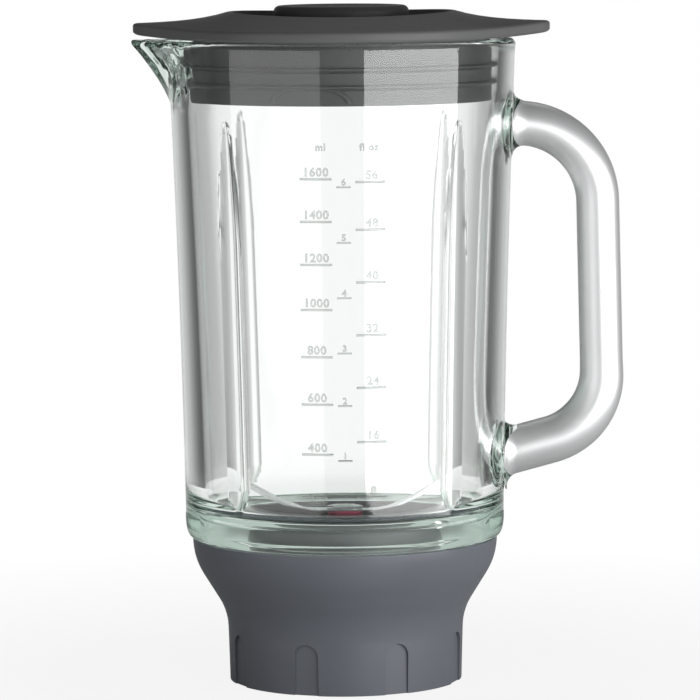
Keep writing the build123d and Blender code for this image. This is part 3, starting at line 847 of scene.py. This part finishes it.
def stroke(low, high, z, width=0.9):
    """A flat raised line between two x, with its upper edges bevelled."""
    made = bmesh.new()
    size = Matrix.Diagonal(((high - low) * mm, width * mm, RAISED * mm, 1))
    spot = Matrix.Translation(((low + high) / 2 * mm, z * mm, RAISED / 2 * mm))
    bmesh.ops.create_cube(made, size=1, matrix=spot @ size)
    lengthwise = [e for e in made.edges if abs(e.verts[0].co.x - e.verts[1].co.x) > mm]
    bmesh.ops.subdivide_edges(made, edges=lengthwise, cuts=8)
    rim = [
        edge for edge in made.edges
        if min(v.co.z for v in edge.verts) > 0.1 * mm
        and len(edge.link_faces) == 2
        and edge.calc_face_angle() > 1
    ]
    bmesh.ops.bevel(
        made, geom=rim, offset=0.28 * mm, offset_type="OFFSET", affect="EDGES",
        segments=3, profile=0.5, material=-1,
    )
    mesh = bpy.data.meshes.new("stroke")
    made.to_mesh(mesh)
    made.free()
    return mesh


print("marks raised by", RAISED, "mm")

# %% [markdown]
# Three columns stand side by side: millilitres, cups and fluid ounces. The heights are read from
# the photograph, because the jar's wall leans and the steps grow shorter towards the rim.

# %% Scale
MILLILITRES = (79.7, 100.5, 120.5, 139.5, 158.3, 176.2, 193.3, 210.2)
OUNCES = (83.1, 105.5, 127.2, 148.2, 169.2, 190.1, 209.0)
CUPS = (98.0, 120.0, 141.0, 163.0, 185.0, 207.0)
UNITS_Z = 221.5
FIGURE_TALL, CUP_TALL, UNIT_TALL = 3.4, 2.6, 2.8
flat = []
for i, z in enumerate(MILLILITRES):
    flat += [figure(str(200 * (i + 1)), -10.6, z + 1.2, FIGURE_TALL), stroke(-17.0, -4.3, z)]
for i, z in enumerate(OUNCES):
    flat += [figure(str(8 * (i + 1)), 11.6, z + 1.2, FIGURE_TALL), stroke(5.1, 17.0, z)]
for i, z in enumerate(CUPS):
    flat += [figure(str(i + 1), 0.4, z + 0.8, CUP_TALL), stroke(-2.4, 3.2, z, 0.7)]
flat += [figure("ml", -8.6, UNITS_Z, UNIT_TALL), figure("fl oz", 10.6, UNITS_Z, UNIT_TALL)]
marks = bmesh.new()
for mesh in flat:
    marks.from_mesh(mesh)
    bpy.data.meshes.remove(mesh)
for vert in marks.verts:
    vert.co = wrapped(vert.co)
scale = finished("measuring_scale", marks, scale_grey_shade_finish, crease=10)
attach(scale, "jar")
print("scale marks:", len(flat), "faces:", len(scale.data.polygons))

# %% [markdown]
# ## The room
# White all round for the camera. Glass shows what lies behind and beside it, so the room that the
# glass sees is written by direction: white behind the jar, grey further round. That grey draws the
# dark lines along the walls. Four things are then laid over it. Mirrored rays that leave upwards
# meet a dark ceiling. Rays that pass through the glass meet white behind the camera, a green-grey
# ceiling, and a dark ground that gives the foot its depth. Matt surfaces get a dim, even light.

# %% Room
LEVELS = (  # degrees round from straight behind the jar, and how bright it is there
    (0, 1.0), (8.5, 1.0), (12, 0.62), (26, 0.42), (38, 0.14),
    (44, 0.08), (56, 0.20), (150, 0.22), (180, 0.22),
)
world = bpy.data.worlds.new("studio")
scene.world = world
s = Shader(world, "ShaderNodeOutputWorld")
x, y, z = s.parts(s.node("ShaderNodeTexCoord", output="Generated"))
from_back = s.node("ShaderNodeMath", [x, y], operation="ARCTAN2").absolute() / pi
stops = [(degrees / 180, (level, level, level)) for degrees, level in LEVELS]
room = s.node("ShaderNodeValToRGB", [from_back], stops=stops)
through, mirrored = s.ray("Transmission"), s.ray("Glossy")
overhead = ((z - 0.05) / 0.2).clamped() * mirrored
onward = ((from_back - 0.45) / 0.15).clamped() * through
upward = (z / 0.15).clamped() * through
downward = ((-0.2 - z) / 0.15).clamped() * through
room = s.blend(overhead, room, (0.12, 0.12, 0.12))
room = s.blend(onward, room, (0.95, 0.95, 0.95))
room = s.blend(upward, room, (0.54, 0.61, 0.57))
room = s.blend(downward, room, (0.16, 0.16, 0.16))
plain = s.blend(through.most(mirrored), (0.15, 0.15, 0.15), room)
sky = s.blend(s.ray("Camera"), plain, (1, 1, 1))
s.surface(s.node("ShaderNodeBackground", [sky, 1.0]))
print("room levels:", len(LEVELS))

# %% [markdown]
# ## The floor
# A sheet of white paper. The camera sees it glowing almost white. Near the jar the glow is turned
# down, a painted shade, and the lit paper that shows through there carries the real contact shadow.
# It lies a hair below the jar's foot, so that no two faces share a plane.

# %% Floor
FLOOR_R, FLOOR_DROP = 0.5, 0.0003
SHADE_R, SHADE_FADE, SHADE = 0.12, 0.25, 0.12
made, s = material("studio_floor")
x, y, z = s.parts(s.place())
far = (((x * x + y * y).power(0.5) - SHADE_R) / SHADE_FADE).clamped()
paper = s.node("ShaderNodeBsdfDiffuse", {"Color": (0.65, 0.65, 0.65, 1)})
glow = s.node("ShaderNodeEmission", {"Color": (1, 1, 1, 1), "Strength": 1.0})
# Near the jar the glow drops by SHADE: a painted shade laid over the paper's real shadow.
bright = s.ray("Camera").most(s.ray("Transmission")) * (far * SHADE + (1 - SHADE))
s.surface(s.mixed(bright, paper, glow))
shape = bmesh.new()
bmesh.ops.create_circle(
    shape, cap_ends=True, segments=96, radius=FLOOR_R,
    matrix=Matrix.Translation((0, 0, -FLOOR_DROP)),
)
floor = finished("floor", shape, made)
print("floor:", floor.name)

# %% [markdown]
# ## The lamps
# Two large soft boxes stand either side of the camera, the right one the stronger, with a dark gap
# between them that shows as a dark stripe down the middle of the lid's plug. A third lights the lid
# from above and behind. Rays that pass through the glass don't see the boxes. If they did, the
# boxes would shine white in the raised figures and make them hard to read.

# %% Soft boxes
def soft_box(name, turn, away, width, height, middle, radiance):
    """An area lamp that faces the jar, at a turn from the camera's direction."""
    lamp = bpy.data.lights.new(name, "AREA")
    lamp.shape, lamp.size, lamp.size_y = "RECTANGLE", width, height
    lamp.energy = radiance * pi * width * height
    holder = bpy.data.objects.new(name, lamp)
    spot = Vector((away * sin(radians(turn)), -away * cos(radians(turn)), middle))
    aim = (Vector((0, 0, 0.15)) - spot).to_track_quat("-Z", "Y").to_matrix().to_4x4()
    holder.matrix_world = Matrix.Translation(spot) @ aim
    holder.visible_camera = holder.visible_transmission = False
    scene.collection.objects.link(holder)
    return holder


lamps = [
    soft_box("soft_box_right", 48, 1.2, 1.6, 0.60, 0.15, 7.8),
    soft_box("soft_box_left", -46, 1.2, 1.5, 0.60, 0.15, 1.8),
    soft_box("soft_box_top", 180, 0.9, 1.0, 0.6, 1.2, 0.6),
]
print("lamps:", len(lamps))
